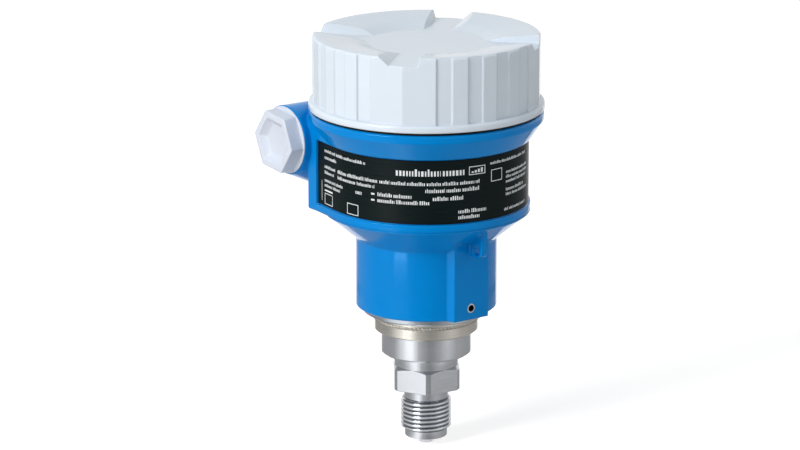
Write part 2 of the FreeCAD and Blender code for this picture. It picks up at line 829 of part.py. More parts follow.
def make_display_socket():
    """Open shrouded socket for a plug-in display, with two rows of pins."""
    length, width, height = socket_size
    x, y = socket_place
    shroud = block(x - length / 2, x + length / 2, y - width / 2, y + width / 2, deck_z, deck_z + height)
    inside = block(x - length / 2 + socket_wall, x + length / 2 - socket_wall,
                   y - width / 2 + socket_wall, y + width / 2 - socket_wall, deck_z + 1.5, deck_z + height + 1)
    shroud = shroud.cut(inside)
    pins = []
    for column in range(5):
        for row in (-1, 1):
            pin_x = x + (column - 2) * 2.54
            pin_y = y + row * 1.0
            pin = block(pin_x - 0.3, pin_x + 0.3, pin_y - 0.3, pin_y + 0.3, deck_z + 1, deck_z + height - 1)
            pins.append(pin)
    return shroud.fuse(pins)


def slider_x(way):
    return switch_place[0] + (way - (switch_ways - 1) / 2) * slider_pitch


def make_switch_case():
    """Case of the four small slide switches, with one slot for each."""
    length, width, height = switch_size
    x, y = switch_place
    case = block(x - length / 2, x + length / 2, y - width / 2, y + width / 2, deck_z, deck_z + height)
    tools = []
    half_x = slider_size[0] / 2 + running_gap
    half_y = (slider_size[1] + slider_travel) / 2 + running_gap
    for way in range(switch_ways):
        middle = slider_x(way)
        tools.append(block(middle - half_x, middle + half_x, y - half_y, y + half_y,
                           deck_z + height - 1.2, deck_z + height + 1))
    return case.cut(tools)


def make_slider(way):
    """One switch slider, at the end of its slot that faces -Y."""
    length, width, height = slider_size
    x = slider_x(way)
    y = switch_place[1] - slider_travel / 2
    low = deck_z + switch_size[2] - 1.2
    return block(x - length / 2, x + length / 2, y - width / 2, y + width / 2, low, low + height)


def make_key_guides():
    """Raised rings that guide the two push keys."""
    rings = []
    top = deck_z + key_guide_height
    for x in (zero_key_x, span_key_x):
        outside = disc(key_guide_dia / 2, deck_z, top, x, key_y)
        rings.append(outside.cut(disc(key_dia / 2 + running_gap, deck_z - 1, top + 1, x, key_y)))
    return Part.makeCompound(rings)


def make_key(x):
    """Push key: a round cap that slides in its guide."""
    low = deck_z - key_sink
    top = deck_z + key_guide_height + key_height - 1.4
    cap = disc(key_dia / 2, low, top, x, key_y)
    rims = [e for e in cap.Edges if e.BoundBox.ZMin > top - 0.01]
    return cap.makeChamfer(0.4, rims)


def cover_outline():
    """Corners of the grip: two flats below each notch, then four sunk grooves."""
    points = []
    quadrant = 360.0 / notch_count
    for k in range(notch_count):
        start = notch_turn + k * quadrant
        points.append(polar(cover_radius, start))
        for g in range(groove_sets):
            middle = start + quadrant / 2 + (g - (groove_sets - 1) / 2) * groove_pitch
            low = middle - groove_width / 2
            high = middle + groove_width / 2
            points.append(polar(cover_radius, low))
            points.append(polar(cover_radius - groove_depth, low + 0.4))
            points.append(polar(cover_radius - groove_depth, high - 0.4))
            points.append(polar(cover_radius, high))
    return points


def notch_tool(k):
    """Cutter of one wrench notch: steep on one side, and on the other a slope that widens inward."""
    floor_z = cover_top - dish_depth
    far = cover_radius + 1
    near = notch_inner
    half = notch_half_width
    low = [(near, -half), (far, -half), (far, half), (near, half)]
    high = [(near, -half - 2 * notch_inner_slant), (far, -half - 2 * notch_slant)]
    high += [(far, half + 2 * notch_draft), (near, half + 2 * notch_draft)]
    tool = loft_between(low, floor_z, high, floor_z + 2 * dish_depth)
    return turn(tool, notch_turn + k * 360.0 / notch_count)


def make_cover():
    """Screwed cover: flanged cup with a fluted grip, a dished top and four wrench notches."""
    flange = turned([(0, cover_z), (cover_flange_radius, cover_z),
                     (cover_flange_radius, cover_z + cover_flange_height - cover_flange_round),
                     (cover_flange_radius - 0.3, cover_z + cover_flange_height - 0.3),
                     (cover_flange_radius - cover_flange_round, cover_z + cover_flange_height),
                     (0, cover_z + cover_flange_height)])
    grip = prism(cover_outline(), cover_z + 1, cover_top)
    crown = disc(cover_radius, cover_z, cover_top)
    crown_edges = [e for e in crown.Edges if e.BoundBox.ZMin > cover_top - 0.01]
    grip = grip.common(crown.makeFillet(cover_edge_round, crown_edges))
    floor_z = cover_top - dish_depth
    dish = turned([(0, floor_z), (dish_radius, floor_z), (dish_knee_radius, cover_top - dish_knee_depth),
                   (crest_radius, cover_top), (crest_radius, cover_top + 5), (0, cover_top + 5)])
    cup = disc(cover_bore_radius, cover_z - 1, cover_z + cover_ceiling)
    groove = ring(cover_seal_inner - seal_play, cover_seal_outer + seal_play,
                  cover_z - 1, cover_z + cover_seal_height - cover_gap)
    tools = [dish, cup, groove]
    for k in range(notch_count):
        tools.append(notch_tool(k))
    return flange.fuse(grip).cut(tools)


def make_cover_seal():
    return ring(cover_seal_inner, cover_seal_outer, rim_top, rim_top + cover_seal_height)


def make_plug(side):
    """Blind plug: hollow threaded stem, round flange and a hexagon head with a sunk face."""
    face = entry_face_x
    flange_x = face + plug_flange_height
    head_x = flange_x + plug_hex_height
    stem_r = plug_stem_dia / 2
    tip_x = face - plug_stem_length
    seal_depth = plug_seal_height - entry_counterbore_depth
    body = turned([(0, tip_x), (stem_r - 0.8, tip_x), (stem_r, tip_x + 0.8), (stem_r, face),
                   (plug_flange_dia / 2, face), (plug_flange_dia / 2, flange_x - 0.3),
                   (plug_flange_dia / 2 - 0.3, flange_x), (0, flange_x)])
    base = [polar(plug_hex_base_corners / 2, plug_hex_turn + 60 * k) for k in range(6)]
    top = [polar(plug_hex_corners / 2, plug_hex_turn + 60 * k) for k in range(6)]
    head = loft_between(base, flange_x, top, head_x)
    mouth = plug_hex_corners / 2 - plug_rim / math.cos(math.pi / 6)
    sunk = mouth - plug_recess_draft
    low = [polar(sunk, plug_hex_turn + 60 * k) for k in range(6)]
    high = [polar(mouth, plug_hex_turn + 60 * k) for k in range(6)]
    recess = loft_between(low, head_x - plug_recess_depth, high, head_x)
    bore = disc(stem_r - plug_wall, tip_x - 1, face)
    groove = ring(plug_seal_inner / 2 - seal_play, plug_seal_outer / 2 + seal_play, face - 1, face + seal_depth)
    groove = groove.cut(disc(stem_r, face - 2, face + 5))
    plug = body.fuse(head).cut([recess, bore, groove])
    return place_at_entry(plug, side)


def make_plug_seal(side):
    depth = plug_seal_height - entry_counterbore_depth
    low = entry_face_x - entry_counterbore_depth
    seal = ring(plug_seal_inner / 2, plug_seal_outer / 2, low, entry_face_x + depth)
    return place_at_entry(seal, side)


def place_at_entry(shape, side):
    """Lay a piece modelled along Z into the entry on one side, outward along X."""
    placed = shape.copy()
    placed.rotate(vec(0, 0, 0), vec(0, 1, 0), 90 * side)
    placed.translate(vec(0, entry_y, entry_z))
    return placed


def make_all():
    pieces = {
        "process_connection": make_process_connection(),
        "sensor_body": make_sensor_body(),
        "measuring_diaphragm": make_measuring_diaphragm(),
        "sensor_header": make_sensor_header(),
        "sensor_chip": make_sensor_chip(),
        "feedthrough_pins": make_feedthrough_pins(),
        "compensation_board": make_compensation_board(),
        "board_spacers": make_board_spacers(),
        "sensor_ring": make_sensor_ring(),
        "rotation_collar": make_rotation_collar(),
        "neck_seal": make_neck_seal(),
        "retaining_clip": make_retaining_clip(),
        "housing": make_housing(),
        "nameplate": make_nameplate(),
        "lock_screw": make_lock_screw(),
        "vent_filter": make_vent_filter(),
        "outer_ground_clamp": make_outer_ground_clamp(),
        "outer_ground_screw": make_outer_ground_screw(),
        "inner_ground_clamp": make_inner_ground_clamp(),
        "inner_ground_screw": make_inner_ground_screw(),
        "electronics_insert": make_electronics_insert(),
        "insert_screws": make_insert_screws(),
        "terminal_block": make_terminal_block(),
        "terminal_screws": make_terminal_screws(),
        "display_socket": make_display_socket(),
        "switch_case": make_switch_case(),
        "key_guides": make_key_guides(),
        "zero_key": make_key(zero_key_x),
        "span_key": make_key(span_key_x),
        "cover": make_cover(),
        "cover_seal": make_cover_seal(),
    }
    for way in range(switch_ways):
        pieces["switch_slider_%d" % (way + 1)] = make_slider(way)
    for side, name in ((-1, "left"), (1, "right")):
        pieces["%s_plug" % name] = make_plug(side)
        pieces["%s_plug_seal" % name] = make_plug_seal(side)
    return pieces


os.makedirs("parts", exist_ok=True)
for name, shape in make_all().items():
    shape.exportStep("parts/%s.step" % name)
    print(name, "solids", len(shape.Solids), "volume", round(shape.Volume, 1), "valid", shape.isValid())
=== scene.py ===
import bpy
import bmesh
import math
import random
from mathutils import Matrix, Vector


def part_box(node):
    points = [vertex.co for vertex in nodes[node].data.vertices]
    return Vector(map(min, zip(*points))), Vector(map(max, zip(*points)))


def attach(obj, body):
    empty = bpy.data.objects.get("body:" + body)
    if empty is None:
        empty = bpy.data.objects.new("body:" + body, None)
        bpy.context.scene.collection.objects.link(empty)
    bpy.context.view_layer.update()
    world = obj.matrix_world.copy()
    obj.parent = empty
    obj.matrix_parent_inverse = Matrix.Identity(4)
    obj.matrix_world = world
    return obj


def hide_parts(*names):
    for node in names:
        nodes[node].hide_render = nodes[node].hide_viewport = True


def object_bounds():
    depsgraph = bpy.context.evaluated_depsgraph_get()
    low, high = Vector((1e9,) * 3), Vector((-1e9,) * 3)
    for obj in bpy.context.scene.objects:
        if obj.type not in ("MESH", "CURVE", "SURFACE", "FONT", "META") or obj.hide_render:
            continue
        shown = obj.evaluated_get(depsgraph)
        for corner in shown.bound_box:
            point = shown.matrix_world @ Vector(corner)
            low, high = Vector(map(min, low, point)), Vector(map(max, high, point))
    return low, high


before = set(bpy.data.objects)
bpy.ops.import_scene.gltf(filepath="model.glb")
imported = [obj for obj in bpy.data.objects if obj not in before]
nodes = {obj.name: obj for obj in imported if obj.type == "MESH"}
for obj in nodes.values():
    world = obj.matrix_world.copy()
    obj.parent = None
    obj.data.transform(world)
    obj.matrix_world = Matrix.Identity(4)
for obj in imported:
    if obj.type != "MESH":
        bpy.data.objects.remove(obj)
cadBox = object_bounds()
scene = bpy.context.scene
mm = 0.001
print("frame loaded,", len(nodes), "nodes")


# small tools

def linearColour(code):
    parts = [int(code[k:k + 2], 16) / 255 for k in (1, 3, 5)]
    return [p / 12.92 if p <= 0.04045 else ((p + 0.055) / 1.055) ** 2.4 for p in parts] + [1.0]


def boxInMm(name):
    low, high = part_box(name)
    return Vector(low) / mm, Vector(high) / mm


def linkTo(tree, node, links):
    # a source is a socket, or a node whose first output is meant
    for key, source in links.items():
        socket = source if isinstance(source, bpy.types.NodeSocket) else source.outputs[0]
        tree.links.new(node.inputs[key], socket)


def addNode(tree, kind, settings, links=None):
    # a setting is one of the node's properties, or else a socket by its name or number
    node = tree.nodes.new(kind)
    for key, value in settings.items():
        if isinstance(key, str) and hasattr(node, key):
            setattr(node, key, value)
        else:
            node.inputs[key].default_value = value
    linkTo(tree, node, links or {})
    return node


def newMaterial(name, shaderSettings):
    material = bpy.data.materials.new(name)
    material.use_nodes = True
    tree = material.node_tree
    shader = tree.nodes["Principled BSDF"]
    for key, value in shaderSettings.items():
        shader.inputs[key].default_value = value
    place = addNode(tree, "ShaderNodeTexCoord", {}).outputs["Object"]
    return material, tree, shader, place


def patternScale(grain):
    # grain is the pattern's real size in millimetres
    return 1 / (grain * mm)


noiseSpan = {"From Min": 0.3, "From Max": 0.7}  # nearly all of a noise pattern lies between these
mixFirst, mixSecond, mixResult = 6, 7, 2  # the colour sockets of a Mix node go by number
bevelSamples = 8  # rays that a rounded edge is worked out from


def makePiece(name, body, material, points, faces, smooth=True):
    mesh = bpy.data.meshes.new(name)
    mesh.from_pydata([[c * mm for c in p] for p in points], [], faces)
    mesh.validate()
    for face in mesh.polygons:
        face.use_smooth = smooth
    mesh.materials.append(material)
    piece = bpy.data.objects.new(name, mesh)
    scene.collection.objects.link(piece)
    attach(piece, body)
    return piece


def crispEdges(piece, angle, reach=0.001):
    # smooth faces that meet at more than the angle keep a crisp edge
    shape = bmesh.new()
    shape.from_mesh(piece.data)
    bmesh.ops.remove_doubles(shape, verts=shape.verts, dist=reach * mm)
    bmesh.ops.dissolve_degenerate(shape, edges=shape.edges, dist=reach / 2 * mm)
    bmesh.ops.recalc_face_normals(shape, faces=shape.faces)
    for edge in shape.edges:
        if len(edge.link_faces) == 2:
            edge.smooth = edge.calc_face_angle() < math.radians(angle)
    for face in shape.faces:
        face.smooth = True
    shape.to_mesh(piece.data)
    shape.free()


def joinParts(parts):
    points = []
    faces = []
    for partPoints, partFaces in parts:
        start = len(points)
        points += partPoints
        faces += [tuple(start + v for v in face) for face in partFaces]
    return points, faces


def roundSpot(radius, angle, z):
    return radius * math.cos(angle), radius * math.sin(angle), z


def rowFaces(rows, count, closed=True):
    # quads between rows of points that each run once round; closed joins the last row to the first
    faces = []
    for i in range(rows if closed else rows - 1):
        shift = ((i + 1) % rows - i) * count
        for k in range(count):
            a, b = i * count + k, i * count + (k + 1) % count
            faces.append((a, b, b + shift, a + shift))
    return faces


def latheParts(profile, stations):
    # turns a closed outline of (radius, z) round Z
    angles = [2 * math.pi * k / stations for k in range(stations)]
    points = [roundSpot(radius, angle, z) for radius, z in profile for angle in angles]
    return points, rowFaces(len(profile), stations)


def filleted(corners, radius, steps=3):
    # rounds each corner of a closed outline
    result = []
    count = len(corners)
    for k in range(count):
        before, here, after = (Vector(corners[(k + j) % count]) for j in (-1, 0, 1))
        reach = min(radius, (before - here).length * 0.45, (after - here).length * 0.45)
        start = here + (before - here).normalized() * reach
        end = here + (after - here).normalized() * reach
        for j in range(steps + 1):
            t = j / steps
            result.append(tuple(start * (1 - t) ** 2 + here * 2 * t * (1 - t) + end * t ** 2))
    return result


# materials; sizes and depths of their patterns are in millimetres

def shadesBetween(tree, pattern, first, second, span=noiseSpan):
    # a colour that goes from the first shade to the second as the pattern goes through the span
    share = addNode(tree, "ShaderNodeMapRange", span, {"Value": pattern})
    shades = {"data_type": "RGBA", mixFirst: linearColour(first), mixSecond: linearColour(second)}
    return addNode(tree, "ShaderNodeMix", shades, {0: share}).outputs[mixResult]


def roughSpan(roughness, settings):
    # the roughness that a noise pattern's low and high places get
    return {**noiseSpan, "To Min": roughness - settings["smoother"],
            "To Max": roughness + settings["rougher"]}


paintSettings = {"cloudSize": 30, "peelSize": 1.6, "peelDepth": 0.005, "smoother": 0.03, "rougher": 0.04}


def paintedCasting(name, colour, shade, sheen, roughness, edgeRound):
    # powder coat on die-cast aluminium: an even colour with a fine orange-peel skin,
    # and edges that the thick coat rounds off
    settings = paintSettings
    material, tree, shader, place = newMaterial(name, {"Specular Tint": linearColour(sheen)})
    clouds = addNode(tree, "ShaderNodeTexNoise",
                     {"Scale": patternScale(settings["cloudSize"]), "Detail": 3.0}, {"Vector": place})
    peel = addNode(tree, "ShaderNodeTexNoise", {"Scale": patternScale(settings["peelSize"])},
                   {"Vector": place})
    gloss = addNode(tree, "ShaderNodeMapRange", roughSpan(roughness, settings), {"Value": peel})
    edge = addNode(tree, "ShaderNodeBevel", {"samples": bevelSamples, "Radius": edgeRound * mm})
    relief = addNode(tree, "ShaderNodeBump", {"Distance": settings["peelDepth"] * mm},
                     {"Height": peel, "Normal": edge})
    tint = shadesBetween(tree, clouds, shade, colour)
    linkTo(tree, shader, {"Base Color": tint, "Roughness": gloss, "Normal": relief})
    return material


# the grey and the width of the painted shade in the thread roots are set here
steelSettings = {"bandRatio": 4, "smoother": 0.05, "rougher": 0.07, "grooveShade": "#808287", "grooveShadeWidth": 0.6}


def turnedSteel(name, colour, roughness, ringSize, ringDepth, anisotropy, grooveShadeRadius=None):
    # stainless steel off the lathe: fine rings round the axis that draw each reflection out along it.
    # A real feed mark is about 0.1 mm wide, too fine to show, so the rings are drawn coarser.
    # Below the given radius the colour darkens towards a grey: painted shade in the thread roots
    settings = steelSettings
    material, tree, shader, place = newMaterial(name, {
        "Base Color": linearColour(colour), "Metallic": 1.0, "Anisotropic": anisotropy,
        "Anisotropic Rotation": 0.25})
    split = addNode(tree, "ShaderNodeSeparateXYZ", {}, {0: place})
    flat = addNode(tree, "ShaderNodeCombineXYZ", {}, {0: split.outputs[0], 1: split.outputs[1]})
    radius = addNode(tree, "ShaderNodeVectorMath", {"operation": "LENGTH"}, {0: flat}).outputs["Value"]
    rings = addNode(tree, "ShaderNodeCombineXYZ", {}, {0: radius, 2: split.outputs[2]})
    fine, bands = (
        addNode(tree, "ShaderNodeTexNoise", {"Scale": patternScale(size), "Detail": 3.0, "Roughness": 0.7},
                {"Vector": rings}) for size in (ringSize, ringSize * settings["bandRatio"]))
    gloss = addNode(tree, "ShaderNodeMapRange", roughSpan(roughness, settings), {"Value": bands})
    tangent = addNode(tree, "ShaderNodeTangent", {"direction_type": "RADIAL", "axis": "Z"})
    relief = addNode(tree, "ShaderNodeBump", {"Distance": ringDepth * mm}, {"Height": fine})
    linkTo(tree, shader, {"Roughness": gloss, "Tangent": tangent, "Normal": relief})
    # painted shade: the colour darkens in the thread roots, below the given radius
    if grooveShadeRadius:
        span = {"From Min": (grooveShadeRadius - settings["grooveShadeWidth"]) * mm, "From Max": grooveShadeRadius * mm}
        linkTo(tree, shader, {"Base Color": shadesBetween(tree, radius, settings["grooveShade"], colour, span)})
    return material


plasticSettings = {"patchSize": 7, "smoother": 0.05, "rougher": 0.05}


def mouldedPlastic(name, colour, roughness, grain, grainDepth):
    # injection-moulded plastic: slightly uneven gloss over the spark-eroded grain of its mould.
    # A real grain is under 0.1 mm, too fine to show, so it is drawn coarser
    settings = plasticSettings
    material, tree, shader, place = newMaterial(name, {"Base Color": linearColour(colour)})
    skin = addNode(tree, "ShaderNodeTexNoise", {"Scale": patternScale(grain)}, {"Vector": place})
    patches = addNode(tree, "ShaderNodeTexNoise", {"Scale": patternScale(settings["patchSize"])},
                      {"Vector": place})
    gloss = addNode(tree, "ShaderNodeMapRange", roughSpan(roughness, settings), {"Value": patches})
    relief = addNode(tree, "ShaderNodeBump", {"Distance": grainDepth * mm}, {"Height": skin})
    linkTo(tree, shader, {"Roughness": gloss, "Normal": relief})
    return material


hardwareSettings = {"markSize": 2.5, "markDepth": 0.001, "edgeRound": 0.3, "smoother": 0.06, "rougher": 0.08}


def smallHardware(name, colour, roughness):
    # cold-formed, rolled or plated small metal: a bright skin with soft handling marks and rounded edges
    settings = hardwareSettings
    material, tree, shader, place = newMaterial(name, {"Base Color": linearColour(colour), "Metallic": 1.0})
    marks = addNode(tree, "ShaderNodeTexNoise", {"Scale": patternScale(settings["markSize"]), "Detail": 3.0},
                    {"Vector": place})
    gloss = addNode(tree, "ShaderNodeMapRange", roughSpan(roughness, settings), {"Value": marks})
    edge = addNode(tree, "ShaderNodeBevel", {"samples": bevelSamples, "Radius": settings["edgeRound"] * mm})
    relief = addNode(tree, "ShaderNodeBump", {"Distance": settings["markDepth"] * mm},
                     {"Height": marks, "Normal": edge})
    linkTo(tree, shader, {"Roughness": gloss, "Normal": relief})
    return material


bluePaint = paintedCasting("powder_coated_aluminium_blue", colour="#0084D2", shade="#007FCA", sheen="#6193B8",
                           roughness=0.08, edgeRound=1.2)
greyPaint = paintedCasting("powder_coated_aluminium_grey", colour="#D8E1EA", shade="#D4DDE6", sheen="#FFFFFF",
                           roughness=0.15, edgeRound=1.0)
satinSteel = turnedSteel("turned_stainless_316L", "#CDD0D5", roughness=0.19, ringSize=0.35, ringDepth=0.008,
                         anisotropy=0.7)
# the radius given here sets where painted shade darkens the thread roots
threadSteel = turnedSteel("cut_thread_stainless_316L", "#D6D9DD", roughness=0.17, ringSize=0.35,
                          ringDepth=0.004, anisotropy=0.6, grooveShadeRadius=9.95)
tintedSteel = turnedSteel("heat_tinted_stainless_316L", "#CFCBC3", roughness=0.24, ringSize=0.3,
                          ringDepth=0.01, anisotropy=0.7)
polishedSteel = turnedSteel("polished_stainless_316L", "#B9C2CA", roughness=0.09, ringSize=0.5,
                            ringDepth=0.0003, anisotropy=0.0)
rolledSteel = smallHardware("rolled_stainless_foil", "#CFCFCB", roughness=0.22)
springSteel = smallHardware("hardened_spring_steel", "#8E8D89", roughness=0.3)
screwSteel = smallHardware("zinc_plated_steel", "#C6CACC", roughness=0.26)
socketSteel = smallHardware("stainless_set_screw", "#A4AAB0", roughness=0.2)
goldPins = smallHardware("gold_plated_pins", "#E2B764", roughness=0.22)
plugPlastic = mouldedPlastic("moulded_polyamide_grey", "#CFD5E0", roughness=0.4, grain=0.45, grainDepth=0.014)
pottingPlastic = mouldedPlastic("moulded_pbt_black", "#202224", roughness=0.5, grain=0.4, grainDepth=0.02)
blackPlastic = mouldedPlastic("moulded_polyamide_black", "#17181A", roughness=0.42, grain=0.4,
                              grainDepth=0.012)
greenPlastic = mouldedPlastic("moulded_polyamide_green", "#2F7D4E", roughness=0.4, grain=0.5,
                              grainDepth=0.008)
redPlastic = mouldedPlastic("moulded_switch_red", "#A82A24", roughness=0.32, grain=0.5, grainDepth=0.004)
whitePlastic = mouldedPlastic("moulded_slider_white", "#E8E8E2", roughness=0.35, grain=0.5, grainDepth=0.004)
keyPlastic = mouldedPlastic("moulded_key_grey", "#B4B7BC", roughness=0.4, grain=0.4, grainDepth=0.008)

# the set screw's socket and its chamfered mouth hold no light, so they turn dark inside a bright ring
socketSettings = {"screwRadius": 2.0, "darkRadius": 1.3, "brightRadius": 1.5, "dark": "#08090A",
                  "bright": "#C4CACF"}
screwHeight = boxInMm("lock_screw")[1].z - socketSettings["screwRadius"]
tree = socketSteel.node_tree
place = addNode(tree, "ShaderNodeTexCoord", {}).outputs["Object"]
onAxis = addNode(tree, "ShaderNodeVectorMath",
                 {"operation": "MULTIPLY_ADD", 1: (1, 0, 1), 2: (0, 0, -screwHeight * mm)}, {0: place})
fromAxis = addNode(tree, "ShaderNodeVectorMath", {"operation": "LENGTH"}, {0: onAxis}).outputs["Value"]
mouthSpan = {"From Min": socketSettings["darkRadius"] * mm, "From Max": socketSettings["brightRadius"] * mm}
tint = shadesBetween(tree, fromAxis, socketSettings["dark"], socketSettings["bright"], mouthSpan)
linkTo(tree, tree.nodes["Principled BSDF"], {"Base Color": tint})

# die-cut silicon: dark, mirror-flat, with a faint blue cast
siliconSettings = {"filmSize": 2.5, "grey": "#55585F", "blue": "#4C5468"}
silicon, tree, shader, place = newMaterial("polished_silicon", {"Metallic": 0.6, "Roughness": 0.12})
film = addNode(tree, "ShaderNodeTexNoise",
               {"Scale": patternScale(siliconSettings["filmSize"]), "Detail": 1.0}, {"Vector": place})
tint = shadesBetween(tree, film, siliconSettings["grey"], siliconSettings["blue"])
linkTo(tree, shader, {"Base Color": tint})

# glass-fibre board under solder resist: the weave shows through as a fine check
boardSettings = {"weaveSize": 0.6, "weaveDepth": 0.004, "pale": "#14643A", "dark": "#0E4F2C",
                 "contrast": {"To Min": 0.3, "To Max": 0.6}}
boardGreen, tree, shader, place = newMaterial("solder_resist_on_glass_fibre", {"Roughness": 0.3})
weave = addNode(tree, "ShaderNodeTexChecker", {"Scale": patternScale(boardSettings["weaveSize"])},
                {"Vector": place}).outputs["Fac"]
tint = shadesBetween(tree, weave, boardSettings["pale"], boardSettings["dark"], boardSettings["contrast"])
relief = addNode(tree, "ShaderNodeBump", {"Distance": boardSettings["weaveDepth"] * mm}, {"Height": weave})
linkTo(tree, shader, {"Base Color": tint, "Normal": relief})

# nitrile rubber: black, dull, with a dusty bloom in the moulded skin
rubberSettings = {"bloomSize": 1.2, "bloomDepth": 0.02, "black": "#0E0E0F", "dusty": "#161618",
                  "roughness": 0.65, "smoother": 0.1, "rougher": 0.1}
rubber, tree, shader, place = newMaterial("moulded_nitrile_rubber", {"Specular IOR Level": 0.15})
bloom = addNode(tree, "ShaderNodeTexNoise",
                {"Scale": patternScale(rubberSettings["bloomSize"]), "Detail": 3.0}, {"Vector": place})
tint = shadesBetween(tree, bloom, rubberSettings["black"], rubberSettings["dusty"])
gloss = addNode(tree, "ShaderNodeMapRange", roughSpan(rubberSettings["roughness"], rubberSettings),
                {"Value": bloom})
relief = addNode(tree, "ShaderNodeBump", {"Distance": rubberSettings["bloomDepth"] * mm}, {"Height": bloom})
linkTo(tree, shader, {"Base Color": tint, "Roughness": gloss, "Normal": relief})

# printed foil plate: satin black over brushed aluminium, so long marks run round it under the ink
foilSettings = {"brushSize": 0.5, "brushDepth": 0.002, "stretch": (0.06, 0.06, 1.0), "black": "#0A1415",
                "worn": "#0D191A", "roughness": 0.31, "smoother": 0.05, "rougher": 0.05}
plateFoil, tree, shader, place = newMaterial("black_printed_foil", {"Specular IOR Level": 0.08})
stretch = addNode(tree, "ShaderNodeMapping", {"Scale": foilSettings["stretch"]}, {0: place})
brushed = addNode(tree, "ShaderNodeTexNoise",
                  {"Scale": patternScale(foilSettings["brushSize"]), "Detail": 3.0, "Roughness": 0.6},
                  {"Vector": stretch})
tint = shadesBetween(tree, brushed, foilSettings["black"], foilSettings["worn"])
gloss = addNode(tree, "ShaderNodeMapRange", roughSpan(foilSettings["roughness"], foilSettings),
                {"Value": brushed})
relief = addNode(tree, "ShaderNodeBump", {"Distance": foilSettings["brushDepth"] * mm}, {"Height": brushed})
linkTo(tree, shader, {"Base Color": tint, "Roughness": gloss, "Normal": relief})

# screen-printed ink: flat, slightly rough, with thin places where the mesh left less
inkSettings = {"thinSize": 0.6, "thinDepth": 0.003, "thin": "#D3D8DA", "full": "#EEF1F1"}
whiteInk, tree, shader, place = newMaterial("screen_printed_white_ink", {"Roughness": 0.5})
thin = addNode(tree, "ShaderNodeTexNoise", {"Scale": patternScale(inkSettings["thinSize"])},
               {"Vector": place})
relief = addNode(tree, "ShaderNodeBump", {"Distance": inkSettings["thinDepth"] * mm}, {"Height": thin})
tint = shadesBetween(tree, thin, inkSettings["thin"], inkSettings["full"])
linkTo(tree, shader, {"Base Color": tint, "Normal": relief})

# laser weld: overlapping scales with a straw-coloured heat tint
beadSettings = {"heatSize": 1.4, "scaleSize": 0.4, "scaleDepth": 0.02, "bright": "#B8B6B2",
                "straw": "#A79E90", "roughness": 0.38, "smoother": 0.1, "rougher": 0.1}
weldSteel, tree, shader, place = newMaterial("laser_welded_stainless", {"Metallic": 1.0})
heat = addNode(tree, "ShaderNodeTexNoise", {"Scale": patternScale(beadSettings["heatSize"]), "Detail": 3.0},
               {"Vector": place})
tint = shadesBetween(tree, heat, beadSettings["bright"], beadSettings["straw"])
gloss = addNode(tree, "ShaderNodeMapRange", roughSpan(beadSettings["roughness"], beadSettings),
                {"Value": heat})
scales = addNode(tree, "ShaderNodeTexNoise", {"Scale": patternScale(beadSettings["scaleSize"])},
                 {"Vector": place})
relief = addNode(tree, "ShaderNodeBump", {"Distance": beadSettings["scaleDepth"] * mm}, {"Height": scales})
linkTo(tree, shader, {"Base Color": tint, "Roughness": gloss, "Normal": relief})
print("materials made")


# finish of each CAD node

for material, names in (
        (satinSteel, ("process_connection", "sensor_body", "sensor_header", "board_spacers")),
        (tintedSteel, ("sensor_ring",)),
        (polishedSteel, ("rotation_collar",)),
        (rolledSteel, ("measuring_diaphragm",)),
        (silicon, ("sensor_chip",)),
        (goldPins, ("feedthrough_pins",)),
        (boardGreen, ("compensation_board",)),
        (rubber, ("neck_seal", "cover_seal", "left_plug_seal", "right_plug_seal")),
        (springSteel, ("retaining_clip",)),
        (bluePaint, ("housing",)),
        (greyPaint, ("cover",)),
        (plateFoil, ("nameplate",)),
        (socketSteel, ("lock_screw",)),
        (screwSteel, ("outer_ground_clamp", "outer_ground_screw", "inner_ground_clamp", "inner_ground_screw",
                      "insert_screws", "terminal_screws")),
        (blackPlastic, ("vent_filter", "display_socket", "key_guides")),
        (pottingPlastic, ("electronics_insert",)),
        (greenPlastic, ("terminal_block",)),
        (redPlastic, ("switch_case",)),
        (whitePlastic, ["switch_slider_%d" % k for k in range(1, 5)]),
        (keyPlastic, ("zero_key", "span_key"))):
    for name in names:
        slots = nodes[name].data.materials
        slots.clear()
        slots.append(material)

# edges of the two castings; a CAD mesh is split at its edges, so it is welded first
edgeSettings = {
    "cover": {"width": 0.8, "angle": 20, "segments": 3, "weldReach": 0.002},
    "housing": {"width": 0.4, "angle": 28, "segments": 2, "weldReach": 0.002},
}
for name, settings in edgeSettings.items():
    weld = nodes[name].modifiers.new("weld", "WELD")
    weld.merge_threshold = settings["weldReach"] * mm
    edge = nodes[name].modifiers.new("edge", "BEVEL")
    edge.width = settings["width"] * mm
    edge.segments = settings["segments"]
    edge.limit_method = "ANGLE"
    edge.angle_limit = math.radians(settings["angle"])
    edge.use_clamp_overlap = True
    edge.harden_normals = True
    normal = nodes[name].modifiers.new("normal", "WEIGHTED_NORMAL")
    normal.keep_sharp = True
print("CAD nodes dressed")


# process connection, from the spigot up: pilot, thread, relief, hexagon and collar

stemSettings = {
    "portRadius": 1.5, "spigotRadius": 3.0, "spigotLength": 3.0, "pilotRadius": 8.75, "pilotLength": 3.3,
    "crestRadius": 10.4775, "rootRadius": 9.3155, "pitch": 1.814, "threadLength": 13.648,
    "leadSlope": 1.9, "runoutSlope": 1.4, "crestShape": 0.65, "flankSteepness": 1.6, "flankShare": 0.85,
    "reliefRadius": 9.2, "reliefLength": 4.3, "hexFlat": 13.5, "hexCorner": 15.0, "hexHeight": 9.8,
    "hexTurn": -3.3, "hexBevel": 0.3, "hexConeAngle": 30, "hexConeDrop": 0.12, "hexTopRadius": 13.52,
    "hexTopInset": 0.1, "collarRadius": 13.4, "spigotRound": 0.35, "collarRound": 0.2, "lap": 0.02,
    "crispAngle": 24, "stations": 96, "threadRows": 16, "cornerRows": 12,
}


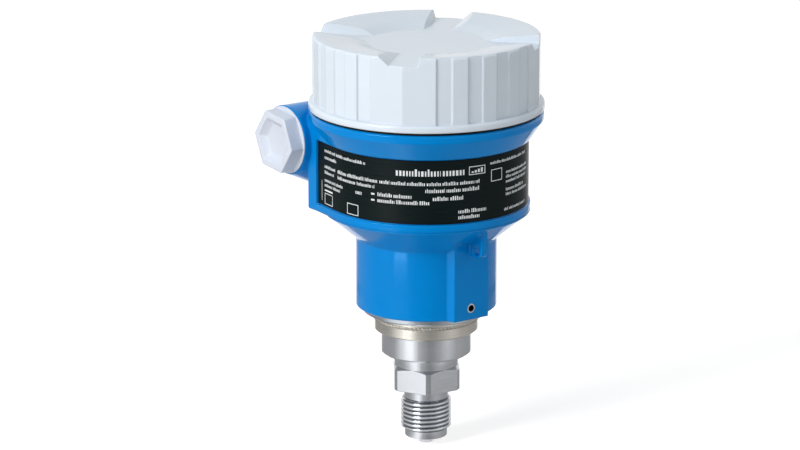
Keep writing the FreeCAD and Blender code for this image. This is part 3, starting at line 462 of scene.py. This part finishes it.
def threadShape(t, settings):
    # a wide crest at t 0 and a narrow rounded root at t 0.5
    wave = (0.5 + 0.5 * math.cos(2 * math.pi * t)) ** settings["crestShape"]
    sharp = min(max((wave - 0.5) * settings["flankSteepness"] + 0.5, 0.0), 1.0)
    return (1 - settings["flankShare"]) * wave + settings["flankShare"] * sharp


def makeThread(settings, low, top):
    # each row climbs one pitch in a turn, so its end joins the row that starts a whole turn further on
    stations, perTurn, pitch = settings["stations"], settings["threadRows"], settings["pitch"]
    crest, root = settings["crestRadius"], settings["rootRadius"]
    rows = (math.ceil((top - low) / pitch) + 1) * perTurn
    points = []
    for row in range(rows + 1):
        shape = root + (crest - root) * threadShape(row / perTurn, settings)
        for k in range(stations):
            z = low + pitch * ((row - perTurn) / perTurn + k / stations)
            held = min(max(z, low), top)
            lead = settings["pilotRadius"] + (held - low) * settings["leadSlope"]
            runout = settings["reliefRadius"] + (top - held) * settings["runoutSlope"]
            points.append(roundSpot(min(shape, lead, runout), 2 * math.pi * k / stations, held))
    faces = []
    for row in range(rows):
        for k in range(stations - 1):
            a = row * stations + k
            faces.append((a, a + 1, a + 1 + stations, a + stations))
        if row + perTurn < rows:
            a = row * stations + stations - 1
            b = (row + perTurn) * stations
            faces.append((a, b, b + stations, a + stations))
    return points, faces


def makeHexagon(settings, low, high):
    # each row follows the hexagon, held inside the turned cone of its chamfer
    flat, corner, port = settings["hexFlat"], settings["hexCorner"], settings["portRadius"]
    turn = math.radians(settings["hexTurn"])
    half = math.pi / 6
    edge = math.acos(flat / corner)
    between = (half - edge) / 2
    steps = settings["cornerRows"]
    stops = [-half, between - half, -edge]
    stops += [edge * k / steps for k in range(1 - steps, steps)] + [edge, half - between]
    angles = [turn + math.pi / 3 * side + half + stop for side in range(6) for stop in stops]
    outline = [min(flat / math.cos((angle - turn) % (math.pi / 3) - half), corner) for angle in angles]
    slope = math.tan(math.radians(settings["hexConeAngle"]))
    bevel, inset, top = settings["hexBevel"], settings["hexTopInset"], settings["hexTopRadius"]
    rows = [
        [(port, low)] * len(angles),
        [(r - bevel, low) for r in outline],
        [(r, low + bevel) for r in outline],
        [(r, high - max(0.0, r - flat) * slope - settings["hexConeDrop"]) for r in outline],
        [(min(r, top) - inset, high) for r in outline],
        [(port, high)] * len(angles),
    ]
    points = [roundSpot(r, angle, z) for row in rows for (r, z), angle in zip(row, angles)]
    return points, rowFaces(len(rows), len(angles))


def makeStem(settings):
    low, high = (corner.z for corner in boxInMm("process_connection"))
    port, pilot, spigot = settings["portRadius"], settings["pilotRadius"], settings["spigotRadius"]
    relief, collar, lap = settings["reliefRadius"], settings["collarRadius"], settings["lap"]
    pilotLow = low + settings["spigotLength"]
    pilotHigh = pilotLow + settings["pilotLength"]
    threadHigh = pilotHigh + settings["threadLength"]
    hexLow = threadHigh + settings["reliefLength"]
    hexHigh = hexLow + settings["hexHeight"]
    spigotCorners = [(port, low), (spigot, low), (spigot, pilotLow), (pilot, pilotLow),
                     (pilot, pilotHigh), (port, pilotHigh)]
    reliefCorners = [(port, threadHigh), (relief, threadHigh), (relief, hexLow + lap), (port, hexLow + lap)]
    collarCorners = [(port, hexHigh), (collar, hexHigh), (collar, high), (port, high)]
    thread = makeThread(settings, pilotHigh, threadHigh)
    parts = [thread, latheParts(filleted(spigotCorners, settings["spigotRound"]), settings["stations"]),
             latheParts(reliefCorners, settings["stations"]),
             latheParts(filleted(collarCorners, settings["collarRound"]), settings["stations"]),
             makeHexagon(settings, hexLow, hexHigh)]
    piece = makePiece("process_stem", "sensor", satinSteel, *joinParts(parts))
    piece.data.materials.append(threadSteel)
    for face in piece.data.polygons[:len(thread[1])]:
        face.material_index = 1
    crispEdges(piece, settings["crispAngle"])
    return piece


stemPiece = makeStem(stemSettings)
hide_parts("process_connection")
print("process connection made")


# seal under the cover: a squeezed ring that bulges into the gap

sealSettings = {"width": 2.0, "bulge": 0.85, "clearBelow": 0.012, "clearCover": 0.018, "clearAbove": 0.048,
                "bulgeRows": 8, "bulgeShape": 0.5, "stations": 128, "crispAngle": 40}


def makeSeal(settings):
    low, high = boxInMm("cover_seal")
    outer = high.x
    inner = outer - settings["width"]
    foot, top = low.z + settings["clearBelow"], high.z - settings["clearAbove"]
    lip = boxInMm("cover")[0].z - settings["clearCover"]
    profile = [(inner, foot), (outer, foot)]
    for k in range(settings["bulgeRows"] + 1):
        t = k / settings["bulgeRows"]
        swell = math.sin(math.pi * t) ** settings["bulgeShape"] if 0 < t < 1 else 0.0
        profile.append((outer + settings["bulge"] * swell, foot + (lip - foot) * t))
    profile += [(outer, top), (inner, top)]
    piece = makePiece("cover_seal_ring", "cover_seal", rubber, *latheParts(profile, settings["stations"]))
    crispEdges(piece, settings["crispAngle"])
    return piece


sealPiece = makeSeal(sealSettings)
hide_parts("cover_seal")
print("seal made")


# blind plugs: threaded stem, flange and a moulded hexagon with a sunk face

plugSettings = {
    "stemRadius": 9.0, "stemLength": 9.0, "wall": 2.2, "leadIn": 0.8, "grooveDepth": 0.7, "groovePitch": 1.5,
    "crestLow": 0.6, "crestHigh": 0.9, "neck": 0.7, "flangeHeight": 0.6, "flangeChamfer": 0.3,
    "flangeRound": 0.2, "coreRadius": 2.0, "footCorner": 13.7, "topCorner": 13.45, "footSunk": 0.4,
    "turn": 24.0, "rim": 2.9, "cornerRound": 0.8, "cornerSteps": 5, "recessDepth": 2.6, "recessDraft": 2.5,
    "edgeRound": 0.5, "edgeSteps": 5, "stations": 72, "crispAngle": 32,
}


def makeHead(settings, foot, top):
    # rows of a hexagon with rounded corners, up the wall, over the rim and down into the recess
    outer = settings["topCorner"]
    mouth = outer - settings["rim"] / math.cos(math.pi / 6)
    floor = mouth - settings["recessDraft"]
    sunk = top - settings["recessDepth"]
    curve, steps = settings["edgeRound"], settings["edgeSteps"]
    bends = [math.pi / 2 * k / steps for k in range(steps + 1)]
    rows = [(settings["footCorner"], foot - settings["footSunk"]), (settings["footCorner"], foot)]
    rows += [(outer - curve * (1 - math.sin(t)), top - curve * (1 - math.cos(t))) for t in reversed(bends)]
    rows += [(mouth + curve * (1 - math.sin(t)), top - curve * (1 - math.cos(t))) for t in bends[:-1]]
    rows += [(floor + 0.6 * curve, sunk + curve), (floor - 0.2 * curve, sunk + 0.3 * curve)]
    rows.append((floor - curve, sunk))
    points = []
    for radius, z in rows:
        corners = [roundSpot(radius, math.radians(settings["turn"] + 60 * k), z) for k in range(6)]
        points += filleted(corners, settings["cornerRound"], settings["cornerSteps"])
    count = len(points) // len(rows)
    ends = [tuple(range(count - 1, -1, -1)), tuple(range(len(points) - count, len(points)))]
    return points, ends + rowFaces(len(rows), count, closed=False)


def makePlug(name, settings):
    # made along Z and laid on the entry's axis, which runs along X
    low, high = boxInMm(name)
    side = 1 if high.x > 0 else -1
    tip, top = sorted((abs(low.x), abs(high.x)))
    centre = (low + high) / 2
    face = tip + settings["stemLength"]
    foot = face + settings["flangeHeight"]
    stem, core, rim = settings["stemRadius"], settings["coreRadius"], (high.z - low.z) / 2
    bore, groove = stem - settings["wall"], stem - settings["grooveDepth"]
    profile = [(bore, tip), (stem - settings["leadIn"], tip)]
    for k in range(int(settings["stemLength"] / settings["groovePitch"]) - 1):
        z = tip + settings["leadIn"] + settings["groovePitch"] * k
        profile += [(groove, z), (stem, z + settings["crestLow"]), (stem, z + settings["crestHigh"])]
    chamfer, bend = settings["flangeChamfer"], settings["flangeRound"]
    profile += [(groove, face - settings["neck"]), (groove, face), (rim - chamfer, face),
                (rim, face + chamfer), (rim, foot - bend), (rim - 0.3 * bend, foot - 0.3 * bend),
                (rim - bend, foot), (core, foot), (core, face), (bore, face)]
    points, faces = joinParts([latheParts(profile, settings["stations"]), makeHead(settings, foot, top)])
    laid = [(side * z, y + centre.y, centre.z - side * x) for x, y, z in points]
    plug = makePiece(name + "_moulding", name, plugPlastic, laid, faces)
    crispEdges(plug, settings["crispAngle"])
    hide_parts(name)


makePlug("left_plug", plugSettings)
makePlug("right_plug", plugSettings)
print("plugs made")


# laser weld round the upper step

weldSettings = {
    "seed": 4, "inset": 0.08, "height": 4.352, "width": 1.5, "rise": 0.3, "crownShape": 0.6,
    "ripple": 0.13, "ripples": 81, "rippleLean": 4, "swell": 0.7, "swellEvery": 11, "swellFade": 0.9,
    "stations": 900, "rows": 9,
}


def makeWeld(settings):
    low, high = boxInMm("sensor_ring")
    stations, rows = settings["stations"], settings["rows"]
    random.seed(settings["seed"])
    swell = []
    for k in range(stations):
        fresh = k % settings["swellEvery"] == 0
        swell.append(random.uniform(-settings["swell"], settings["swell"]) if fresh
                     else swell[-1] * settings["swellFade"])
    points = []
    for row in range(rows + 1):
        t = row / rows
        crown = math.sin(math.pi * t) ** settings["crownShape"] if 0 < t < 1 else 0.0
        for k in range(stations):
            angle = 2 * math.pi * k / stations
            wave = math.sin(settings["ripples"] * angle + settings["rippleLean"] * t) + swell[k]
            radius = high.x - settings["inset"] + (settings["rise"] + settings["ripple"] * wave) * crown
            points.append(roundSpot(radius, angle, low.z + settings["height"] + settings["width"] * t))
    return makePiece("weld_seam", "sensor", weldSteel, points, rowFaces(rows + 1, stations, closed=False))


makeWeld(weldSettings)
print("weld made")


# print on the nameplate: plain bars and boxes that follow its curve; a place on the plate is
# the run along it from its straight end and the height over its lower edge, in mm

printSettings = {
    "seed": 11, "plateRadius": 42.0, "startX": -39.9, "tangent": 173.6, "straight": 15.8, "proud": 0.03,
    "sunk": 0.02, "bendStep": 1.2, "wordWidth": (2.0, 6.5), "wordGap": 0.45, "wideGap": 0.3,
    "tickWidth": (0.17, 0.36), "tickGap": 0.2, "tickHeights": (1.0, 0.74, 0.74, 0.74),
    "leastWord": 0.3, "leastTick": 0.12, "boxLine": 0.3,
    "smallLines": (  # start and end of each line, its height on the plate and the height of its ticks
        (5.5, 33.0, 22.75, 1.3), (5.5, 15.0, 19.85, 1.4), (5.5, 14.5, 16.05, 1.3), (16.3, 82.0, 16.05, 1.5),
        (5.5, 13.0, 13.65, 1.3), (16.3, 37.5, 13.65, 1.4), (59.0, 82.0, 13.15, 1.7), (62.0, 75.0, 9.85, 1.7),
        (5.5, 20.0, 10.35, 1.3), (5.5, 18.0, 8.25, 1.3), (28.0, 31.5, 9.95, 1.6), (39.0, 53.5, 10.65, 1.6),
        (39.0, 61.0, 8.15, 1.6), (72.5, 85.0, 4.15, 1.6), (72.5, 82.5, 1.75, 1.6), (87.0, 112.0, 22.75, 1.2),
        (96.0, 114.0, 17.65, 1.2), (96.0, 114.0, 15.65, 1.2), (96.0, 113.0, 13.65, 1.2),
        (96.0, 110.0, 10.35, 1.3), (96.0, 114.0, 8.35, 1.2), (95.0, 112.0, 2.15, 1.2)),
    "largeLine": (47.0, 75.0, 19.95, 2.9),
    "boxes": (  # start and end along the plate, lower and upper edge
        (77.0, 84.5, 19.65, 23.15), (5.5, 12.0, 0.95, 5.55), (23.0, 29.5, 0.75, 5.35),
        (87.5, 93.5, 15.55, 20.55)),
    "bars": ((3.0, 3.25, 1.85, 10.35), (5.5, 12.0, 6.35, 7.05), (36.0, 37.6, 10.95, 11.65),
             (36.0, 37.6, 8.45, 9.15)),
    "stairCount": 4, "stairStart": 78.2, "stairStep": 1.4, "stairWidth": 0.9, "stairFoot": 20.45,
    "stairHeight": 0.6, "stairRise": 0.4,
}
plateLow, plateHigh = boxInMm("nameplate")


def plateSpot(s, z, lift):
    start = Vector((printSettings["startX"], plateHigh.y))
    angle = math.radians(printSettings["tangent"])
    radius, straight = printSettings["plateRadius"], printSettings["straight"]
    if s < straight:
        joint = Vector((radius * math.cos(angle), radius * math.sin(angle)))
        along = (joint - start).normalized()
        spot = joint - along * (straight - s) + Vector((along.y, -along.x)) * lift
        return spot.x, spot.y, plateLow.z + z
    return roundSpot(radius + lift, angle + (s - straight) / radius, plateLow.z + z)


def addBar(parts, s0, s1, z0, z1):
    # a thin closed bar, bent with the plate
    steps = max(1, int((s1 - s0) / printSettings["bendStep"]))
    points = []
    for k in range(steps + 1):
        s = s0 + (s1 - s0) * k / steps
        for lift in (-printSettings["sunk"], printSettings["proud"]):
            points += [plateSpot(s, z0, lift), plateSpot(s, z1, lift)]
    faces = [(4 * k + c, 4 * k + d, 4 * k + 4 + d, 4 * k + 4 + c)
             for k in range(steps) for c, d in ((0, 1), (1, 3), (3, 2), (2, 0))]
    end = 4 * steps
    faces += [(0, 2, 3, 1), (end, end + 1, end + 3, end + 2)]
    parts.append((points, faces))


def addWords(parts, s0, s1, z, height, gap):
    # a line of print as upright ticks of uneven width, which spell nothing
    s = s0
    while s < s1 - printSettings["leastWord"]:
        word = min(random.uniform(*printSettings["wordWidth"]) * height, s1 - s)
        tick = s
        while tick < s + word - printSettings["leastTick"]:
            width = random.uniform(*printSettings["tickWidth"]) * height
            rise = height * random.choice(printSettings["tickHeights"])
            addBar(parts, tick, min(tick + width, s + word), z, z + rise)
            tick += width + printSettings["tickGap"] * height
        s += word + gap * height


def addBox(parts, s0, s1, z0, z1):
    line = printSettings["boxLine"]
    addBar(parts, s0, s1, z0, z0 + line)
    addBar(parts, s0, s1, z1 - line, z1)
    addBar(parts, s0, s0 + line, z0, z1)
    addBar(parts, s1 - line, s1, z0, z1)


def makePrint(settings):
    random.seed(settings["seed"])
    parts = []
    for line in settings["smallLines"]:
        addWords(parts, *line, settings["wordGap"])
    addWords(parts, *settings["largeLine"], settings["wideGap"])
    for corners in settings["boxes"]:
        addBox(parts, *corners)
    for k in range(settings["stairCount"]):
        start = settings["stairStart"] + settings["stairStep"] * k
        top = settings["stairFoot"] + settings["stairHeight"] + settings["stairRise"] * k
        addBar(parts, start, start + settings["stairWidth"], settings["stairFoot"], top)
    for corners in settings["bars"]:
        addBar(parts, *corners)
    print("bars on the nameplate:", len(parts))
    return makePiece("plate_print", "housing", whiteInk, *joinParts(parts), smooth=False)


makePrint(printSettings)
print("print made")


# stage: floor, reflection rings, world, lamps and camera

stageSettings = {
    "floorReach": 6.0, "floorColour": "#F2ECE7", "floorGlow": 0.58, "skyLight": 0.42, "skyWhite": 1.0,
    "skyTone": "#F3FAFF", "skyWhiteTone": "#FFFFFF", "aimHeight": 95.0,
}
cameraSettings = {"lens": 186.35, "sensor": 36, "place": (-0.9875, -1.3163, 0.5334), "tilt": 74.828,
                  "turn": -36.5}
lampSettings = {  # turn is the angle from the camera's side, left negative; distance and size in metres
    "key_lamp": {"turn": -50, "rise": 30, "distance": 1.5, "size": 0.6, "power": 15.0, "colour": "#FFFFFF"},
    "top_lamp": {"turn": -30, "rise": 70, "distance": 1.5, "size": 0.8, "power": 2.0, "colour": "#EFF8FF"},
    "fill_lamp": {"turn": 75, "rise": 22, "distance": 1.8, "size": 1.2, "power": 2.6, "colour": "#FFFFFF"},
}
cameraSide = cameraSettings["turn"] - 90
floorZ = cadBox[0][2]


def seenWhite(tree):
    # 1 for camera, glossy and transmission rays, which see a white studio
    path = addNode(tree, "ShaderNodeLightPath", {})
    both = addNode(tree, "ShaderNodeMath", {"operation": "MAXIMUM"},
                   {0: path.outputs["Is Camera Ray"], 1: path.outputs["Is Glossy Ray"]})
    return addNode(tree, "ShaderNodeMath", {"operation": "MAXIMUM"},
                   {0: both, 1: path.outputs["Is Transmission Ray"]})


def emptyMaterial(name):
    material = bpy.data.materials.new(name)
    material.use_nodes = True
    material.node_tree.nodes.clear()
    return material, material.node_tree


def stagePiece(name, spots, faces, material):
    mesh = bpy.data.meshes.new(name)
    mesh.from_pydata(spots, [], faces)
    mesh.materials.append(material)
    piece = bpy.data.objects.new(name, mesh)
    scene.collection.objects.link(piece)
    return piece


floorMaterial, tree = emptyMaterial("matt_studio_floor")
matt = addNode(tree, "ShaderNodeBsdfDiffuse", {"Color": linearColour(stageSettings["floorColour"])})
lift = addNode(tree, "ShaderNodeMath", {"operation": "MULTIPLY", 1: stageSettings["floorGlow"]},
               {0: seenWhite(tree)})
glow = addNode(tree, "ShaderNodeEmission", {}, {"Strength": lift})
both = addNode(tree, "ShaderNodeAddShader", {}, {0: matt, 1: glow})
addNode(tree, "ShaderNodeOutputMaterial", {}, {"Surface": both})
reach = stageSettings["floorReach"]
floorCorners = [(x * reach, y * reach, floorZ) for x, y in ((-1, -1), (1, -1), (1, 1), (-1, 1))]
stagePiece("floor", floorCorners, [(0, 1, 2, 3)], floorMaterial)

# rings on the floor that only reflections see, with soft-edged bright and dark fields: radii and
# rise in mm, each row an angle from the camera's side and the light there, near and further out
ringSettings = {
    "reflection_ring": {
        "turns": range(-150, 151, 2), "radii": (9.5, 132.0, 150.0, 1400.0), "columns": (1, 1, 2, 2),
        "rise": 0.2,
        "levels": (
            (-150, 0.40, 0.40), (-100, 0.42, 0.42), (-84, 0.50, 0.46), (-74, 0.62, 0.75), (-64, 0.75, 1.10),
            (-50, 1.20, 1.30), (-36, 1.40, 1.36), (-27, 1.10, 1.05), (-16, 0.55, 0.58), (-4, 0.44, 0.42),
            (8, 0.32, 0.31), (18, 0.33, 0.36), (30, 0.42, 0.48), (44, 0.48, 0.70), (54, 0.48, 0.81),
            (64, 0.46, 0.68), (80, 0.42, 0.48), (124, 0.38, 0.40), (150, 0.38, 0.40))},
    "reflection_collar": {
        "turns": range(-150, 151, 2), "radii": (238.0, 256.0), "columns": (1, 1), "rise": 0.4,
        "levels": (
            (-150, 0.2), (-70, 0.4), (-48, 1.5), (-30, 1.5), (-20, 0.25), (0, 0.1), (40, 0.16), (60, 0.5),
            (150, 0.2))},
    "reflection_window": {
        "turns": range(-52, -30, 3), "radii": (290.0, 338.0, 343.0, 361.0), "columns": (1, 2, 3, 3),
        "rise": 0.6,
        "levels": ((-52, 1.5, 4.0, 22.0), (-30, 1.5, 4.0, 22.0))},
}


def levelAt(table, turn, column):
    for low, high in zip(table, table[1:]):
        if turn <= high[0]:
            t = (turn - low[0]) / (high[0] - low[0])
            return low[column] + (high[column] - low[column]) * t * t * (3 - 2 * t)
    return table[-1][column]


def makeRing(name, settings):
    # rise keeps one ring clear of another
    turns, radii = settings["turns"], settings["radii"]
    spots = []
    glows = []
    for radius, column in zip(radii, settings["columns"]):
        for turn in turns:
            angle = math.radians(cameraSide + turn)
            spots.append(roundSpot(radius * mm, angle, floorZ + settings["rise"] * mm))
            glows.append(levelAt(settings["levels"], turn, column))
    count = len(turns)
    faces = [(i * count + k, i * count + k + 1, (i + 1) * count + k + 1, (i + 1) * count + k)
             for i in range(len(radii) - 1) for k in range(count - 1)]
    card, cardTree = emptyMaterial(name)
    read = addNode(cardTree, "ShaderNodeAttribute", {"attribute_name": "light"})
    shine = addNode(cardTree, "ShaderNodeEmission", {}, {"Strength": read.outputs["Fac"]})
    addNode(cardTree, "ShaderNodeOutputMaterial", {}, {"Surface": shine})
    piece = stagePiece(name, spots, faces, card)
    light = piece.data.attributes.new("light", "FLOAT", "POINT")
    light.data.foreach_set("value", glows)
    piece.visible_camera = False
    piece.visible_diffuse = False
    piece.visible_shadow = False


for name, settings in ringSettings.items():
    makeRing(name, settings)

world = bpy.data.worlds.new("studio")
scene.world = world
world.use_nodes = True
tree = world.node_tree
tree.nodes.clear()
seen = seenWhite(tree)
level = addNode(tree, "ShaderNodeMapRange",
                {"To Min": stageSettings["skyLight"], "To Max": stageSettings["skyWhite"]}, {"Value": seen})
tones = {"data_type": "RGBA", mixFirst: linearColour(stageSettings["skyTone"]),
         mixSecond: linearColour(stageSettings["skyWhiteTone"])}
tone = addNode(tree, "ShaderNodeMix", tones, {0: seen})
sky = addNode(tree, "ShaderNodeBackground", {}, {"Strength": level, "Color": tone.outputs[mixResult]})
addNode(tree, "ShaderNodeOutputWorld", {}, {"Surface": sky})

middle = Vector((0.0, 0.0, stageSettings["aimHeight"] * mm))
for name, settings in lampSettings.items():
    lean = math.radians(settings["rise"])
    flat = roundSpot(math.cos(lean), math.radians(cameraSide + settings["turn"]), math.sin(lean))
    light = bpy.data.lights.new(name, "AREA")
    light.size = settings["size"]
    light.energy = settings["power"]
    light.color = linearColour(settings["colour"])[:3]
    lamp = bpy.data.objects.new(name, light)
    scene.collection.objects.link(lamp)
    lamp.location = middle + settings["distance"] * Vector(flat)
    lamp.rotation_euler = (middle - lamp.location).to_track_quat("-Z", "Y").to_euler()

lens = bpy.data.cameras.new("camera")
lens.lens = cameraSettings["lens"]
lens.sensor_width = cameraSettings["sensor"]
camera = bpy.data.objects.new("camera", lens)
scene.collection.objects.link(camera)
camera.location = cameraSettings["place"]
camera.rotation_euler = (math.radians(cameraSettings["tilt"]), 0.0, math.radians(cameraSettings["turn"]))
scene.camera = camera
scene.view_settings.view_transform = "Standard"
print("stage made")
